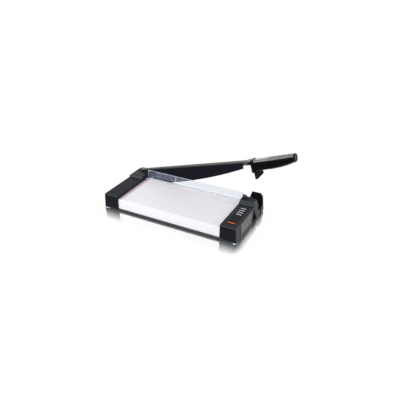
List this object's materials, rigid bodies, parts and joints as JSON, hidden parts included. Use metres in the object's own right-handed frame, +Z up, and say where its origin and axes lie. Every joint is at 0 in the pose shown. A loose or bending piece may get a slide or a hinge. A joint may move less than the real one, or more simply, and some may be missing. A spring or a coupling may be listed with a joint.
{
  "type": "paper cutter",
  "caption": "Desk paper cutter: a hinged lever arm with a bowed blade swings down past a flat table with a clear sprung paper clamp; the grip carries a latch lever.",
  "frame": {"origin": "on the desk, under the middle of the box that the cutter fills with its arm half raised", "axes": "+X along the cut from the hinge to the handle, +Y away from the person cutting, +Z up"},
  "size_m": [0.5048, 0.194, 0.2034],
  "materials": {
    "strip_grey": "dark grey satin paint",
    "foot_clear": "pale soft rubber",
    "table_white": "pale satin paint with a printed grid",
    "knife_steel": "ground steel",
    "screw_steel": "plated steel",
    "housing_grey": "fine-grained dark blue-grey moulding",
    "label_grey": "plain inset plate",
    "panel_grey": "satin moulding",
    "bumper_rubber": "black rubber",
    "bracket_steel": "plated steel",
    "rail_black": "black satin paint",
    "bushing_brass": "turned brass",
    "blade_black": "black coating with a ground edge",
    "grip_black": "ribbed black moulding",
    "cap_grey": "grey cap",
    "latch_black": "black moulding",
    "clear_plastic": "clear acrylic",
    "spring_steel": "spring wire"
  },
  "bodies": {
    "base": {"base_plate": "strip_grey", "rubber_feet": "foot_clear", "table_top": "table_white", "bed_knife": "knife_steel", "bed_knife_screws": "screw_steel", "left_housing": "housing_grey", "hinge_cover": "housing_grey", "right_housing": "housing_grey", "label_plate": "label_grey", "side_panel": "panel_grey", "receiver": "housing_grey", "rest_bumpers": "bumper_rubber", "hinge_bracket": "bracket_steel", "hinge_bolt": "screw_steel", "hinge_nut": "screw_steel", "hinge_washers": "screw_steel", "spring_washers": "screw_steel", "guide_posts": "bracket_steel", "clamp_springs": "spring_steel", "base_screws": "screw_steel"},
    "arm": {"arm_rail": "rail_black", "arm_bushing": "bushing_brass", "blade": "blade_black", "blade_screws": "screw_steel", "handle_collar": "grip_black", "handle_grip": "grip_black", "handle_end_cap": "cap_grey", "latch_pin": "screw_steel", "latch_spring": "spring_steel"},
    "latch": {"latch_lever": "latch_black"},
    "clamp": {"clamp_bar": "clear_plastic"}
  },
  "joints": [
    {"name": "arm_hinge", "type": "hinge", "parent": "base", "child": "arm", "pos_m": [-0.22637, 0.0733, 0.037], "axis": [0, -1, 0], "range_deg": [-16.2, 45]},
    {"name": "latch_pivot", "type": "hinge", "parent": "arm", "child": "latch", "pos_m": [0.1402, 0.0733, 0.13775], "axis": [0, -1, 0], "range_deg": [0, 15], "stiffness_Nm_per_rad": 0.3, "springref_deg": -17.19, "deforming": ["latch_spring"]},
    {"name": "clamp_press", "type": "slide", "parent": "base", "child": "clamp", "axis": [0, 0, -1], "range_m": [0, 0.0025], "stiffness_N_per_m": 1500, "springref_m": -0.004, "deforming": ["clamp_springs"]}
  ]
}
